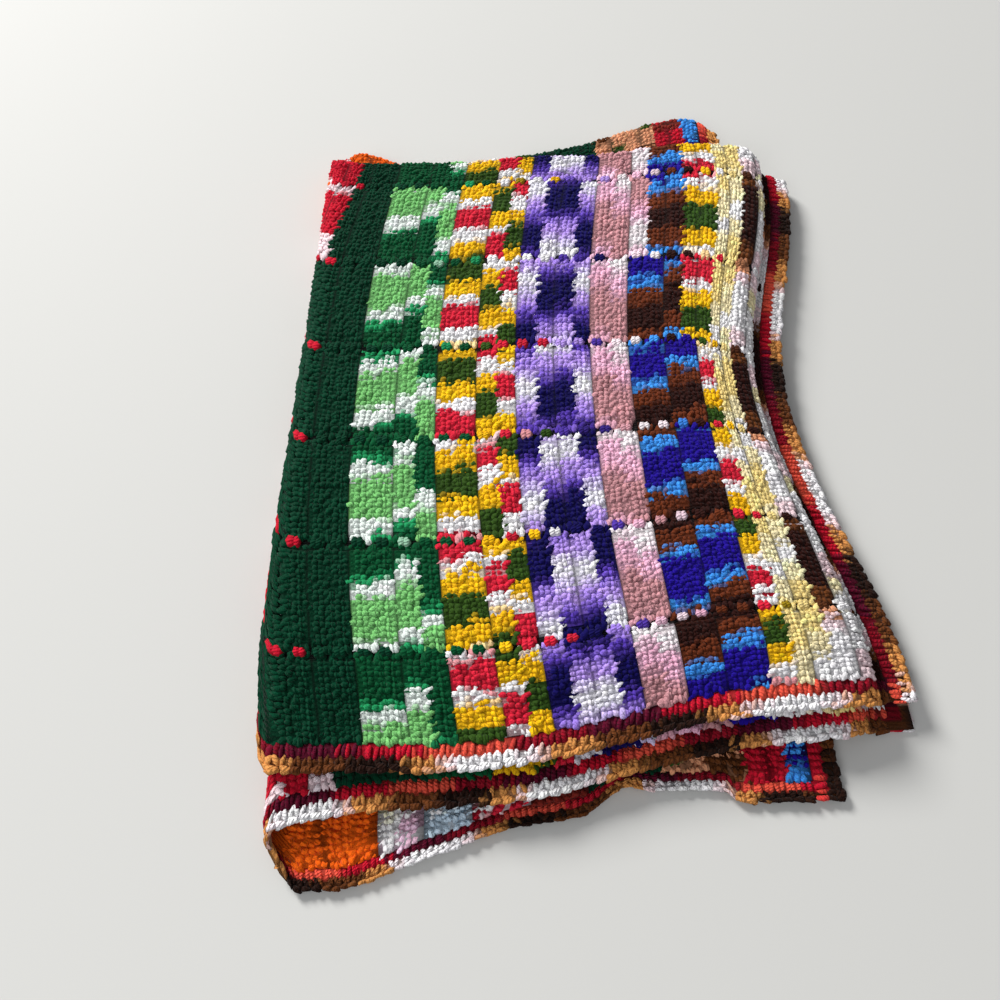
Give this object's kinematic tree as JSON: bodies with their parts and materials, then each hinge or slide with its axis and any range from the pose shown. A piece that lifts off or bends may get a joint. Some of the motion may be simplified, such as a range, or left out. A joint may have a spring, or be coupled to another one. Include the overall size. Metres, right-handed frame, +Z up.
{
  "type": "granny square blanket",
  "caption": "Folded crocheted blanket of joined striped squares with a crocheted border, lying flat in four layers, to lay over a lap, bed or chair.",
  "frame": {"origin": "middle of the folded blanket's outline, on the surface it lies on", "axes": "+Z up, through the layers; +Y to the back fold; +X to the right, away from the left fold"},
  "size_m": [0.4256, 0.6822, 0.0404],
  "materials": {
    "square_yarn": "matt, slightly fuzzy acrylic yarn in double crochet, striped in many colours",
    "border_yarn": "matt, slightly fuzzy acrylic yarn in single crochet, running from red through brown to white"
  },
  "bodies": {
    "root": {"squares": "square_yarn", "border": "border_yarn"}
  },
  "joints": []
}
